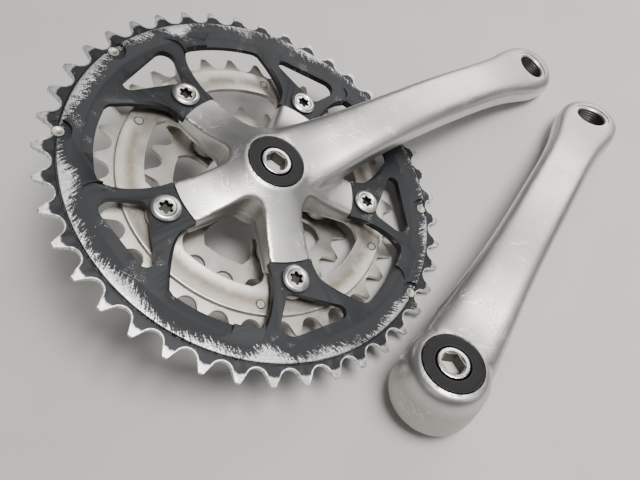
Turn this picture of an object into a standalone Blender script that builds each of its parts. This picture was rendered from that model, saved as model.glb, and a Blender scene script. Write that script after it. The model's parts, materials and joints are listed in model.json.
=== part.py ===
"""A bicycle crankset taken off the bike and laid down: the driving side, with
its three chainrings, and the loose left crank beside it.

The driving side is modelled in its own frame: the axle runs along Z, the crank
arm along +X, and z = 0 is the middle of the outer chainring's teeth.  The left
crank has a frame of its own, with z = 0 at its outer face.  Two empties then
lay each side down on the floor, z = 0, the way it comes to rest.
"""

import math

import bmesh
import bpy
from mathutils import Matrix, Vector

MM = 0.001                      # every length below is in millimetres
GAP = 0.3                       # left between pieces that touch

# Chain and chainrings
CHAIN_PITCH = 12.7
ROLLER_SEAT = 3.95              # radius of a tooth gap's round bottom
TOOTH_RISE = 2.35               # tooth tip above the pitch circle
TOOTH_TIP_HALF = 0.75
TOOTH_HALF = 1.05               # half the thickness of every tooth plate
OUTER_TEETH, MIDDLE_TEETH, INNER_TEETH = 42, 32, 22
MIDDLE_Z, INNER_Z = -7.6, -15.8  # middle of these rings' teeth; the outer ring's is 0
ARMS = 5
ARM_STEP = 360.0 / ARMS
FIRST_ARM = 36.0                # the crank arm lies midway between two spider arms
TIP_PHASE = 85.2                # angle of one tooth tip of the outer ring
BOLT_CIRCLE = 47.0              # radius of the outer and middle rings' bolts
INNER_BOLT_CIRCLE = 29.0
RING_BOLT_HOLE_R, INNER_BOLT_HOLE_R = 5.25, 4.3
OUTER_PINS = [(115, 78.3), (149, 79.4), (-66, 78.8), (-32, 77.7)]       # angle, radius
MIDDLE_PINS = [(57, 54.7), (130.4, 54.8), (-54.4, 56.2), (-122.5, 55.0)]
OUTER_PIN_R, MIDDLE_PIN_R = 1.9, 1.7

# Levels along the axle
TAB_TOP, TAB_BACK = 1.2, -1.6           # outer chainring's tabs
SEAT_TOP, SEAT_BACK = -1.9, -4.5        # spider's thin ends, between the rings
BAND_TOP, BAND_BACK = -4.8, -6.9        # middle chainring's band
SPIDER_BACK = -6.3
PILLAR_BACK = INNER_Z + TOOTH_HALF + GAP
SHOULDER = 39.9                         # radius where the spider steps down
SPIDER_HALF, SPIDER_FILLET = 8.3, 6.5   # half a spider arm's width, and its inner corners
PILLAR_R, PILLAR_THREAD_R = 6.6, 4.2

# Crank boss, arm and pedal end
CRANK_LENGTH = 175.0
FACE = 11.7                             # boss face above the outer ring
BOSS_DEPTH = 27.0
BOSS_R = 17.0
PEDAL_RISE = 17.8                       # pedal face above the boss face
PEDAL_THICK = 13.0
PEDAL_END_R = 15.7
PEDAL_HOLE_R = 7.15
PEDAL_SPOT_R, PEDAL_SPOT_DEPTH = 9.4, 0.6
TAPER_HALF_MOUTH, TAPER_HALF_END = 6.35, 5.85
SECTION_POINTS, SQUARENESS = 16, 0.62   # the arm's section: an ellipse squared off

# Crank bolt, washer and retaining ring, measured down from the boss face
RING_R, RING_HOLE_R, RING_FLANGE = 11.65, 6.75, 2.6
RING_THREAD_R, RING_THREAD_DEPTH = 10.6, 5.4
RECESS_DEPTH, POCKET_R, POCKET_DEPTH = 2.9, 10.9, 10.6
COLLAR_R, COLLAR_PROUD = 6.3, 0.2
HEAD_FLANGE_R, HEAD_FLANGE_TOP, HEAD_FLANGE_BACK = 9.4, 5.8, 7.6
WASHER_BACK = 10.2
SHANK_R, SHANK_HOLE_R, SHANK_END = 3.9, 4.4, 24.0
HEX_HALF, HEX_DEPTH = 4.0, 6.8
WEB = 3.0                               # metal between the pocket and the square socket

# Chainring bolts and their sleeve nuts
RING_BOLT_R, RING_HEAD_R, RING_SOCKET_R = 3.9, 5.75, 3.0
SLEEVE_HOLE_R, SLEEVE_R = 4.2, 4.95
INNER_HEAD_R, INNER_SOCKET_R = 6.2, 2.4

# How the two sides lie on the floor, in degrees and millimetres
LEAN, LEAN_TOWARDS = 21.42, -46.42      # lean of the axle, and its heading from the arm
CHAINSET_HEADING = 43.9
CHAINSET_AT = (-46.17, -24.19, 32.84)
LEFT_PITCH = 10.5
LEFT_HEADING = 63.43
LEFT_AT = (34.31, -91.42, 29.43)


def rad(degrees):
    return math.radians(degrees)


def polar(radius, degrees):
    return (radius * math.cos(rad(degrees)), radius * math.sin(rad(degrees)))


def turned_by(points, degrees):
    c, s = math.cos(rad(degrees)), math.sin(rad(degrees))
    return [(c * x - s * y, s * x + c * y) for x, y in points]


def circle(radius, count, centre=(0.0, 0.0)):
    cx, cy = centre
    ring = [polar(radius, 360.0 * i / count) for i in range(count)]
    return [(cx + x, cy + y) for x, y in ring]


def rounded(corners, steps=3):
    """A closed outline from corners (x, y, radius), each turned into an arc."""
    outline = []
    for i, (x, y, radius) in enumerate(corners):
        here = Vector((x, y))
        back = (Vector(corners[i - 1][:2]) - here).normalized()
        ahead = (Vector(corners[(i + 1) % len(corners)][:2]) - here).normalized()
        half = 0.5 * back.angle(ahead)
        centre = here + (back + ahead).normalized() * (radius / math.sin(half))
        start = here + back * (radius / math.tan(half)) - centre
        turn = math.pi - 2 * half
        sign = 1 if back.x * ahead.y - back.y * ahead.x < 0 else -1
        for step in range(steps + 1):
            outline.append(tuple(centre + Matrix.Rotation(sign * turn * step / steps, 2) @ start))
    return outline


# ---------------------------------------------------------------- meshes

def add_loop(bm, points, z):
    verts = [bm.verts.new((x * MM, y * MM, z * MM)) for x, y in points]
    edges = [bm.edges.new((verts[i], verts[(i + 1) % len(verts)])) for i in range(len(verts))]
    return verts, edges


def bridge(bm, low, high):
    count = len(low)
    for i in range(count):
        j = (i + 1) % count
        bm.faces.new((low[i], low[j], high[j], high[i]))


def fill(bm, loops):
    edges = [edge for _, loop_edges in loops for edge in loop_edges]
    bmesh.ops.triangle_fill(bm, use_beauty=True, use_dissolve=False, edges=edges)


def plate_mesh(outline, holes, z_low, z_high):
    """A flat plate with holes, all its walls upright."""
    bm = bmesh.new()
    low = [add_loop(bm, points, z_low) for points in [outline] + holes]
    high = [add_loop(bm, points, z_high) for points in [outline] + holes]
    fill(bm, low)
    fill(bm, high)
    for (low_verts, _), (high_verts, _) in zip(low, high):
        bridge(bm, low_verts, high_verts)
    return bm


def turned_mesh(profile, segments):
    """A solid of revolution about Z; the profile runs from axis to axis."""
    bm = bmesh.new()
    rings = [add_loop(bm, circle(radius, segments), z)[0] for radius, z in profile[1:-1]]
    for low, high in zip(rings, rings[1:]):
        bridge(bm, low, high)
    for (_, z), ring in ((profile[0], rings[0]), (profile[-1], rings[-1])):
        tip = bm.verts.new((0.0, 0.0, z * MM))
        for i, vert in enumerate(ring):
            bm.faces.new((tip, ring[(i + 1) % segments], vert))
    return bm


def hollow_mesh(profile, segments):
    """A turned ring; its closed profile never reaches the axis."""
    bm = bmesh.new()
    rings = [add_loop(bm, circle(radius, segments), z)[0] for radius, z in profile]
    for low, high in zip(rings, rings[1:] + rings[:1]):
        bridge(bm, low, high)
    return bm


def stepped_mesh(outline, top, back, inner, segments):
    """A chainring: toothed outline, round steps (radius, z) on both faces, inner loops."""
    bm = bmesh.new()
    walls = []
    for steps in (top, back):
        edge_loop = add_loop(bm, outline, steps[0][1])
        rings = [add_loop(bm, circle(radius, segments), z) for radius, z in steps]
        fill(bm, [edge_loop, rings[0]])
        for (outside, _), (inside, _) in zip(rings, rings[1:]):
            bridge(bm, outside, inside)
        loops = [add_loop(bm, points, steps[-1][1]) for points in inner]
        fill(bm, [rings[-1]] + loops)
        walls.append([edge_loop] + loops)
    for (high, _), (low, _) in zip(*walls):
        bridge(bm, low, high)
    return bm


def material(name, colour, roughness, metallic):
    made = bpy.data.materials.new(name)
    made.use_nodes = True
    shader = made.node_tree.nodes["Principled BSDF"]
    shader.inputs["Base Color"].default_value = (*colour, 1.0)
    shader.inputs["Roughness"].default_value = roughness
    shader.inputs["Metallic"].default_value = metallic
    made.diffuse_color = (*colour, 1.0)
    return made


FINISH = {
    "forged": ((0.62, 0.61, 0.58), 0.34, 1.0),
    "anodised": ((0.055, 0.062, 0.075), 0.42, 0.6),
    "nickel": ((0.52, 0.49, 0.44), 0.38, 1.0),
    "bolt": ((0.66, 0.66, 0.64), 0.25, 1.0),
    "black": ((0.022, 0.022, 0.024), 0.55, 0.0),
    "pin": ((0.45, 0.45, 0.44), 0.35, 1.0),
}


def piece(name, bm, finish, parent, at=(0.0, 0.0, 0.0)):
    """Close, orient and shade the mesh, and hang it on its empty."""
    bmesh.ops.remove_doubles(bm, verts=bm.verts, dist=1e-7)
    bmesh.ops.recalc_face_normals(bm, faces=bm.faces)
    mesh = bpy.data.meshes.new(name)
    bm.to_mesh(mesh)
    bm.free()
    mesh.shade_smooth()
    mesh.set_sharp_from_angle(angle=rad(32))
    mesh.materials.append(material(name + "_finish", *FINISH[finish]))
    made = bpy.data.objects.new(name, mesh)
    bpy.context.collection.objects.link(made)
    made.parent = parent
    made.location = Vector(at) * MM
    return made


def tool(name, bm, parent, at=(0.0, 0.0, 0.0)):
    """A guide solid for a Boolean, kept out of the model."""
    made = piece(name, bm, "bolt", parent, at)
    made.hide_render = True
    made.display_type = "WIRE"
    return made


def combine(target, operation, other):
    step = target.modifiers.new(operation.title() + "_" + other.name, "BOOLEAN")
    step.operation = operation
    step.solver = "EXACT"
    step.object = other


# ---------------------------------------------------------------- chainrings

def tooth_outline(teeth, phase):
    """Round roller seats and narrow tips; phase is the angle of one tip."""
    pitch_r = CHAIN_PITCH / (2 * math.sin(math.pi / teeth))
    tip_turn = math.degrees(TOOTH_TIP_HALF / (pitch_r + TOOTH_RISE))
    outline = []
    for k in range(teeth):
        tip = phase + 360.0 * k / teeth
        outline.append(polar(pitch_r + TOOTH_RISE, tip - tip_turn))
        outline.append(polar(pitch_r + TOOTH_RISE, tip + tip_turn))
        seat = turned_by([(pitch_r - ROLLER_SEAT * math.cos(rad(a)), ROLLER_SEAT * math.sin(rad(a)))
                          for a in (-66, 0, 66)], tip + 180.0 / teeth)
        outline.extend(seat)
    return outline


def arm_angles():
    return [FIRST_ARM + ARM_STEP * k for k in range(ARMS)]


def upright(points, degrees):
    """From a tab's own frame, with +Y outwards and +X clockwise, to the ring's."""
    return turned_by(points, degrees - 90.0)


def tabbed_loop(side_in, foot_r, foot_left, foot_right, side_out, rim_r, rim_steps):
    """The inside of a ring: five tabs joined by arcs of its rim, going clockwise."""
    loop = []
    for angle in reversed(arm_angles()):
        left = side_in + [(foot_left, math.sqrt(foot_r ** 2 - foot_left ** 2))]
        right = [(foot_right, math.sqrt(foot_r ** 2 - foot_right ** 2))] + side_out
        foot = [(0.5 * (foot_left + foot_right), foot_r)]
        end = math.degrees(math.atan2(side_out[-1][0], side_out[-1][1]))
        start = math.degrees(math.atan2(-side_in[0][0], side_in[0][1]))
        span = ARM_STEP - end - start
        rim = [(rim_r * math.sin(rad(end + span * i / rim_steps)),
                rim_r * math.cos(rad(end + span * i / rim_steps)))
               for i in range(1, rim_steps)]
        tab = left + foot + right
        loop.extend(upright(tab + rim, angle))
    return loop


def bolt_holes(circle_r, hole_r, count):
    return [circle(hole_r, count, polar(circle_r, angle)) for angle in arm_angles()]


def outer_ring(parent):
    side_in = [(-28.5, 60.0), (-22.0, 56.2), (-14.7, 50.8), (-11.0, 46.5), (-9.5, 42.6)]
    side_out = [(9.4, 47.0), (11.6, 54.2), (14.6, 60.0), (18.3, 64.2)]
    tabs = tabbed_loop(side_in, SHOULDER + GAP, -9.2, 8.8, side_out, 67.3, 6)
    eye = rounded([(-21.5, 62.4, 2.6), (12.8, 69.0, 4.2), (5.2, 53.6, 3.8)])
    inner = [tabs] + bolt_holes(BOLT_CIRCLE, RING_BOLT_HOLE_R, 12)
    inner += [upright(eye, angle) for angle in arm_angles()]
    top = [(79.9, TOOTH_HALF), (79.5, 0.5), (79.1, 2.1), (77.6, 2.4), (72.4, 1.25), (72.0, TAB_TOP)]
    back = [(78.4, -TOOTH_HALF), (77.8, TAB_BACK)]
    bm = stepped_mesh(tooth_outline(OUTER_TEETH, TIP_PHASE), top, back, inner, 60)
    return piece("outer_chainring", bm, "anodised", parent)


def middle_ring(parent):
    side_in = [(-15.5, 46.0), (-11.5, 44.2), (-9.5, 42.0)]
    side_out = [(9.5, 42.0), (11.5, 44.2), (15.5, 46.0)]
    tabs = tabbed_loop(side_in, SHOULDER + GAP + 0.4, -7.5, 7.5, side_out, 48.5, 5)
    inner = [tabs] + bolt_holes(BOLT_CIRCLE, RING_BOLT_HOLE_R, 12)
    top = [(59.9, MIDDLE_Z + TOOTH_HALF), (59.3, -5.5), (58.0, BAND_TOP)]
    back = [(58.6, MIDDLE_Z - TOOTH_HALF), (57.0, BAND_BACK)]
    bm = stepped_mesh(tooth_outline(MIDDLE_TEETH, 4.0), top, back, inner, 48)
    return piece("middle_chainring", bm, "nickel", parent)


def inner_ring(parent):
    side_in = [(-13.5, 32.7), (-9.6, 30.6), (-7.8, 28.0)]
    side_out = [(7.8, 28.0), (9.6, 30.6), (13.5, 32.7)]
    tabs = tabbed_loop(side_in, 22.6, -5.6, 5.6, side_out, 35.4, 4)
    holes = [tabs] + bolt_holes(INNER_BOLT_CIRCLE, INNER_BOLT_HOLE_R, 12)
    bm = plate_mesh(tooth_outline(INNER_TEETH, 1.0), holes, INNER_Z - TOOTH_HALF,
                    INNER_Z + TOOTH_HALF)
    return piece("inner_chainring", bm, "nickel", parent)


def shift_pins(ring, name, places, radius, z_low, z_high, parent):
    """Rivets that lift the chain, pressed into holes through a chainring."""
    for k, (angle, at_r) in enumerate(places, 1):
        centre = polar(at_r, angle)
        hole = tool(f"cut_{name}_{k}", plate_mesh(circle(radius + GAP, 10), [], -12, 6), parent,
                    (*centre, 0.0))
        combine(ring, "DIFFERENCE", hole)
        piece(f"{name}_{k}", plate_mesh(circle(radius, 10), [], z_low, z_high), "pin", parent,
              (*centre, 0.0))


# ---------------------------------------------------------------- cranks

def arm_sections(boss_hang):
    """Stations (x, half width, top, bottom) down the arm, from the boss face."""
    pedal = PEDAL_RISE
    back = PEDAL_RISE - PEDAL_THICK
    return [
        (-4.0, 13.5, -1.2, -boss_hang), (12.0, 13.8, -0.2, -boss_hang + 1.0),
        (22.0, 13.0, 1.6, -boss_hang + 3.5), (36.0, 12.1, 5.2, -12.6), (52.0, 11.7, 9.2, -7.4),
        (72.0, 11.5, 13.3, -2.4), (92.0, 11.4, 16.2, 1.2), (112.0, 11.4, 17.8, 3.4),
        (130.0, 11.6, 18.5, 4.6), (146.0, 12.5, 18.4, back), (157.0, 14.0, 18.1, back),
        (167.0, 15.3, pedal, back), (CRANK_LENGTH, PEDAL_END_R, pedal, back),
    ]


def arm_mesh(boss_hang):
    """The arm as a loft of rounded sections, closed by a round pedal end."""
    sections = arm_sections(boss_hang)
    for turn in (30, 58, 80):
        shrink = 0.9 * (1 - math.cos(rad(turn))) ** 2
        sections.append((CRANK_LENGTH + PEDAL_END_R * math.sin(rad(turn)),
                         PEDAL_END_R * math.cos(rad(turn)),
                         PEDAL_RISE - shrink, PEDAL_RISE - PEDAL_THICK + shrink))
    bm = bmesh.new()
    rings = []
    for x, half, top, bottom in sections:
        middle, rise = 0.5 * (top + bottom), 0.5 * (top - bottom)
        ring = []
        for i in range(SECTION_POINTS):
            c, s = polar(1.0, 360.0 * (i + 0.5) / SECTION_POINTS)
            y = half * math.copysign(abs(c) ** SQUARENESS, c)
            z = middle + rise * math.copysign(abs(s) ** SQUARENESS, s)
            ring.append(bm.verts.new((x * MM, y * MM, z * MM)))
        rings.append(ring)
    for low, high in zip(rings, rings[1:]):
        bridge(bm, low, high)
    bm.faces.new(rings[0])
    bm.faces.new(rings[-1])
    return bm


def boss_mesh(radius, depth):
    return turned_mesh([(0, 0), (14.4, 0), (15.6, -1.0), (radius - 0.5, -4.0), (radius, -8.0),
                        (radius, -depth + 1.2), (radius - 1.2, -depth), (0, -depth)], 32)


def socket_mesh():
    """The square, tapered hole that the axle's end fits."""
    bm = bmesh.new()
    loops = []
    for half, z in ((TAPER_HALF_END, -POCKET_DEPTH - WEB), (TAPER_HALF_MOUTH, -BOSS_DEPTH - 1)):
        square = [(half, half), (-half, half), (-half, -half), (half, -half)]
        loops.append(add_loop(bm, square, z))
    for loop in loops:
        bm.faces.new(loop[0])
    bridge(bm, loops[0][0], loops[1][0])
    return bm


def machine_crank(crank, side, parent, face):
    """Everything cut into a forging: bolt pocket, bolt hole, square socket, pedal hole."""
    pocket = turned_mesh([(0, 2), (RING_R + GAP, 2), (RING_R + GAP, -RECESS_DEPTH),
                          (POCKET_R, -RECESS_DEPTH), (POCKET_R, -POCKET_DEPTH),
                          (0, -POCKET_DEPTH)], 32)
    hole = plate_mesh(circle(SHANK_HOLE_R, 16), [], -POCKET_DEPTH - WEB - 2, -POCKET_DEPTH + 2)
    pedal = turned_mesh([(0, 2), (PEDAL_SPOT_R, 2), (PEDAL_SPOT_R, -PEDAL_SPOT_DEPTH),
                         (PEDAL_HOLE_R, -PEDAL_SPOT_DEPTH), (PEDAL_HOLE_R, -PEDAL_THICK - 2),
                         (0, -PEDAL_THICK - 2)], 24)
    cutters = (("pocket", pocket, (0, 0, face)), ("bolt_hole", hole, (0, 0, face)),
               ("socket", socket_mesh(), (0, 0, face)),
               ("pedal_hole", pedal, (CRANK_LENGTH, 0, face + PEDAL_RISE)))
    for name, bm, at in cutters:
        combine(crank, "DIFFERENCE", tool(f"cut_{side}_{name}", bm, parent, at))


def spider_outline():
    """Five straight arms with round inner corners, ending on the shoulder circle."""
    centre_r = (SPIDER_HALF + SPIDER_FILLET) / math.sin(rad(ARM_STEP / 2))
    end_half = math.degrees(math.asin((SPIDER_HALF + 0.6) / SHOULDER))
    outline = []
    for angle in arm_angles():
        ends = [polar(SHOULDER, angle + end_half * t) for t in (-1, 0, 1)]
        cx, cy = polar(centre_r, angle + ARM_STEP / 2)
        corner = [polar(SPIDER_FILLET, angle - 90.0 - (180.0 - ARM_STEP) * t / 4) for t in range(5)]
        outline.extend(ends + [(cx + x, cy + y) for x, y in corner])
    return outline


def seat_outline(angle):
    """One of the spider's thin ends, round about its bolt."""
    half, reach = 8.0, 6.4
    nose = [(reach * math.sin(rad(t)), BOLT_CIRCLE + reach * math.cos(rad(t)))
            for t in (60, 30, 0, -30, -60)]
    return upright([(-half, 36.0), (half, 36.0), (half, 43.5)] + nose + [(-half, 43.5)], angle)


def right_crank(parent):
    """Boss, five-armed spider and arm forged in one."""
    crank = piece("right_crank_arm", boss_mesh(BOSS_R, BOSS_DEPTH), "forged", parent, (0, 0, FACE))
    spider = tool("add_spider", plate_mesh(spider_outline(), [], SPIDER_BACK, FACE), parent)
    dome = tool("add_dome", turned_mesh([(0, 10.4), (13.0, 9.8), (19.0, 7.0), (27.0, 3.6),
                                         (35.0, 1.7), (44.0, TAB_TOP), (44.0, SPIDER_BACK - 1),
                                         (0, SPIDER_BACK - 1)], 30), parent)
    combine(spider, "INTERSECT", dome)
    combine(crank, "UNION", spider)
    for k, angle in enumerate(arm_angles(), 1):
        hole = circle(RING_BOLT_HOLE_R, 12, polar(BOLT_CIRCLE, angle))
        seat = plate_mesh(seat_outline(angle), [hole], SEAT_BACK, SEAT_TOP)
        combine(crank, "UNION", tool(f"add_seat_{k}", seat, parent))
        pillar = plate_mesh(circle(PILLAR_R, 12), [], PILLAR_BACK, SPIDER_BACK + 2)
        spot = (*polar(INNER_BOLT_CIRCLE, angle), 0.0)
        combine(crank, "UNION", tool(f"add_pillar_{k}", pillar, parent, spot))
        thread = plate_mesh(circle(PILLAR_THREAD_R, 12), [], PILLAR_BACK - 1, SPIDER_BACK - 1.5)
        combine(crank, "DIFFERENCE", tool(f"cut_thread_{k}", thread, parent, spot))
    arm = tool("add_right_arm", arm_mesh(FACE - SPIDER_BACK - 0.4), parent, (0, 0, FACE))
    combine(crank, "UNION", arm)
    machine_crank(crank, "right", parent, FACE)
    return crank


def left_crank(parent):
    """The plain crank: a boss and an arm, with the same bolt and pedal holes."""
    crank = piece("left_crank_arm", boss_mesh(BOSS_R, BOSS_DEPTH), "forged", parent)
    combine(crank, "UNION", tool("add_left_arm", arm_mesh(BOSS_DEPTH - 3.0), parent))
    machine_crank(crank, "left", parent, 0.0)
    return crank


# ---------------------------------------------------------------- fasteners

def axle_set(side, parent, face):
    """Crank bolt with its hex socket, the washer under it and the retaining ring round it."""
    at = (0, 0, face)
    bolt = piece(f"{side}_crank_bolt", turned_mesh(
        [(0, COLLAR_PROUD), (COLLAR_R - 0.5, COLLAR_PROUD), (COLLAR_R, COLLAR_PROUD - 0.5),
         (COLLAR_R, -HEAD_FLANGE_TOP), (HEAD_FLANGE_R, -HEAD_FLANGE_TOP),
         (HEAD_FLANGE_R, -HEAD_FLANGE_BACK), (SHANK_R, -HEAD_FLANGE_BACK),
         (SHANK_R, -SHANK_END), (0, -SHANK_END)], 20),
        "bolt", parent, at)
    corner = HEX_HALF / math.cos(rad(30))
    socket = plate_mesh(circle(corner, 6), [], COLLAR_PROUD - HEX_DEPTH, COLLAR_PROUD + 1)
    combine(bolt, "DIFFERENCE", tool(f"cut_{side}_hex", socket, parent, at))
    washer = [(SHANK_HOLE_R, -WASHER_BACK), (HEAD_FLANGE_R, -WASHER_BACK),
              (HEAD_FLANGE_R, -HEAD_FLANGE_BACK - GAP), (SHANK_HOLE_R, -HEAD_FLANGE_BACK - GAP)]
    piece(f"{side}_bolt_washer", hollow_mesh(washer, 20), "bolt", parent, at)
    ring = [(RING_HOLE_R, -RING_THREAD_DEPTH), (RING_THREAD_R, -RING_THREAD_DEPTH),
            (RING_THREAD_R, -RING_FLANGE), (RING_R, -RING_FLANGE), (RING_R, -0.4),
            (RING_R - 0.4, 0.0), (RING_HOLE_R, 0.0)]
    piece(f"{side}_retaining_ring", hollow_mesh(ring, 28), "black", parent, at)


def ring_fasteners(parent):
    """Bolt and sleeve nut through both larger rings, and the inner ring's own bolt."""
    head = TAB_TOP + GAP
    bolt = [(0, -5.6), (RING_BOLT_R, -5.6), (RING_BOLT_R, head), (RING_HEAD_R, head),
            (RING_HEAD_R, head + 0.9), (RING_HEAD_R - 0.55, head + 1.4),
            (RING_SOCKET_R, head + 0.7), (RING_SOCKET_R, head - 1.6), (0, head - 1.6)]
    nut_face = BAND_BACK - GAP
    nut = [(SLEEVE_HOLE_R, nut_face - 1.0), (RING_HEAD_R, nut_face - 1.0), (RING_HEAD_R, nut_face),
           (SLEEVE_R, nut_face), (SLEEVE_R, TAB_BACK + 1.6), (SLEEVE_HOLE_R, TAB_BACK + 1.6)]
    back = INNER_Z - TOOTH_HALF - GAP
    inner = [(0, back - 1.2), (INNER_SOCKET_R, back - 1.2), (INNER_SOCKET_R, back - 3.0),
             (4.4, back - 3.0), (INNER_HEAD_R, back - 1.6), (INNER_HEAD_R, back),
             (RING_BOLT_R, back), (RING_BOLT_R, PILLAR_BACK + 5.0), (0, PILLAR_BACK + 5.0)]
    for k, angle in enumerate(arm_angles(), 1):
        far, near = polar(BOLT_CIRCLE, angle), polar(INNER_BOLT_CIRCLE, angle)
        piece(f"ring_bolt_{k}", turned_mesh(bolt, 12), "bolt", parent, (*far, 0.0))
        piece(f"ring_nut_{k}", hollow_mesh(nut, 12), "bolt", parent, (*far, 0.0))
        piece(f"inner_ring_bolt_{k}", turned_mesh(inner, 12), "bolt", parent, (*near, 0.0))


# ---------------------------------------------------------------- assembly

def lay_down(name, at, heading, tilt, towards):
    """An empty at a place on the floor, turned to a heading and tipped over one way."""
    empty = bpy.data.objects.new(name, None)
    bpy.context.collection.objects.link(empty)
    axis = Vector((-math.sin(rad(towards)), math.cos(rad(towards)), 0.0))
    turn = Matrix.Rotation(rad(heading), 4, "Z") @ Matrix.Rotation(rad(tilt), 4, axis)
    empty.matrix_world = Matrix.Translation(Vector(at) * MM) @ turn
    return empty


def build():
    for old in list(bpy.data.objects):
        bpy.data.objects.remove(old, do_unlink=True)
    chainset = lay_down("chainset", CHAINSET_AT, CHAINSET_HEADING, LEAN, LEAN_TOWARDS)
    left = lay_down("left_side", LEFT_AT, LEFT_HEADING, LEFT_PITCH, 0.0)
    right_crank(chainset)
    left_crank(left)
    outer = outer_ring(chainset)
    middle = middle_ring(chainset)
    inner_ring(chainset)
    shift_pins(outer, "outer_shift_pin", OUTER_PINS, OUTER_PIN_R, -3.2, 1.4, chainset)
    shift_pins(middle, "middle_shift_pin", MIDDLE_PINS, MIDDLE_PIN_R, -9.0, -5.0, chainset)
    ring_fasteners(chainset)
    axle_set("right", chainset, FACE)
    axle_set("left", left, 0.0)


build()
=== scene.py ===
# %% [markdown]
# # A worn bicycle crankset
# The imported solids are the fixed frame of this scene. They are true in size and place, but
# plain, so each large part gets a finer piece that stands for it, and every surface gets a
# finish of its own. This first step loads the frame and keeps its box.

import json
import math

import bpy
from mathutils import Matrix, Quaternion, Vector


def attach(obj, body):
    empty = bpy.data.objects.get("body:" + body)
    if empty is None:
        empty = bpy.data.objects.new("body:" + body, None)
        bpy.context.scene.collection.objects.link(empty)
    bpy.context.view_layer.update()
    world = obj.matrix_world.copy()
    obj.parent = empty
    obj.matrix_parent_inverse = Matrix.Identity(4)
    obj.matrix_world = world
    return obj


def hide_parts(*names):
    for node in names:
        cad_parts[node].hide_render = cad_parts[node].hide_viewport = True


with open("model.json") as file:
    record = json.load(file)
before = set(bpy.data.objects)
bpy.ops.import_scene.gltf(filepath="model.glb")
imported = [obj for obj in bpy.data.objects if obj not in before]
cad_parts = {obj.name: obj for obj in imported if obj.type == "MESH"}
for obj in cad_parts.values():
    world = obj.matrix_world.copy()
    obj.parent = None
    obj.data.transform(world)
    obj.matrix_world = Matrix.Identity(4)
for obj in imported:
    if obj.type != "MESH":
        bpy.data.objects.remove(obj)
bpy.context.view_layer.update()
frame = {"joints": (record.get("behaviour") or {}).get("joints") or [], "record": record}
MM = 0.001

# %% [markdown]
# The chainset leans on its rings and its pedal end, and the loose crank lies on its boss, so
# neither stands square to the floor. Each side is modelled upright, with its axle along Z and
# its arm along X, and moved at the end. The matrices that move them come from the two bolts'
# axes and from the pedal faces, whose points lie 8.3 mm beside the hole's centre.

# %% Where the two sides are
CRANK_LENGTH = 175.0
PEDAL_POINT_ASIDE = 8.3
joints = {joint["name"]: joint for joint in frame["joints"]}
mounts = {mount["name"]: mount for mount in frame["record"]["mounts"]}


def side_matrix(joint, mount):
    origin = Vector(joints[joint]["pos_m"])
    axle = Vector(joints[joint]["axis"]).normalized()
    across = Vector(mounts[mount]["pos_m"]) - origin
    across -= axle * across.dot(axle)
    across.rotate(Quaternion(axle, -math.atan2(PEDAL_POINT_ASIDE, CRANK_LENGTH)))
    across.normalize()
    turned = Matrix((across, axle.cross(across), axle)).transposed()
    return Matrix.Translation(origin) @ turned.to_4x4()


CHAINSET = side_matrix("right_crank_bolt_turn", "right_pedal_face")
LOOSE_CRANK = side_matrix("left_crank_bolt_turn", "left_pedal_face")
print("chainset axle at", [round(v, 4) for v in CHAINSET.translation])

# %% [markdown]
# The camera looks down at the object from the front at about 57 degrees. Its lens is short,
# so the near crank boss looks larger than the far pedal ends. Bare metal shows what it
# reflects: one broad lamp overhead is what the flat tops pick up, and the sky is kept dim so
# that the sides stay darker. A window behind lights the outer halves of the arms, and two
# weak lamps open the shadows.

# %% Camera, floor and light
CAMERA_PLACE = (-0.01979, -0.16766, 0.21378)
CAMERA_TURN = (32.402, -4.947, 7.737)
WARM, WARMER, COOL = (1.0, 0.98, 0.95), (1.0, 0.97, 0.94), (0.95, 0.97, 1.0)
SKY_COLOUR, SKY_STRENGTH = (0.80, 0.82, 0.85, 1.0), 0.15
FLOOR_WIDTH = 6.0
camera = bpy.data.objects.new("camera", bpy.data.cameras.new("camera"))
bpy.context.collection.objects.link(camera)
camera.location = CAMERA_PLACE
camera.rotation_euler = [math.radians(turn) for turn in CAMERA_TURN]
camera.data.sensor_width, camera.data.lens = 36.0, 30.98
camera.data.clip_start = 0.01
bpy.context.scene.camera = camera


def soft_light(name, place, size, power, colour):
    light = bpy.data.objects.new(name, bpy.data.lights.new(name, "AREA"))
    bpy.context.collection.objects.link(light)
    light.location = place
    light.data.shape = "RECTANGLE"
    light.data.size, light.data.size_y = size
    light.data.energy = power
    light.data.color = colour
    light.rotation_euler = (-Vector(place)).to_track_quat("-Z", "Y").to_euler()


soft_light("overhead", (0.28, -0.06, 1.05), (0.50, 0.42), 14.0, WARM)
soft_light("window", (0.55, 0.90, 0.62), (0.75, 0.6), 6.0, WARM)
soft_light("side_fill", (0.9, -0.3, 0.7), (0.5, 0.7), 1.2, COOL)
soft_light("front_fill", (-0.5, -0.9, 0.9), (0.8, 0.5), 0.9, WARMER)
world = bpy.data.worlds.new("pale_sky")
world.use_nodes = True
sky = world.node_tree.nodes["Background"]
sky.inputs["Color"].default_value = SKY_COLOUR
sky.inputs["Strength"].default_value = SKY_STRENGTH
bpy.context.scene.world = world
bpy.ops.object.select_all(action="DESELECT")
bpy.ops.mesh.primitive_plane_add(size=FLOOR_WIDTH, location=(0.0, 0.0, 0.0))
floor = bpy.context.object
floor.name = "floor"
print("camera", [round(v, 3) for v in camera.location])

# %% [markdown]
# Finishes are worked out with arithmetic on sockets: `Wire` holds a socket, and adding or
# multiplying two of them adds the Math node that does it. `Finish` makes the material, and
# its `node` method makes any other node. `local` gives millimetres in a side's own upright
# frame, so a pattern can follow the arm's length or run round the axle.

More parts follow.
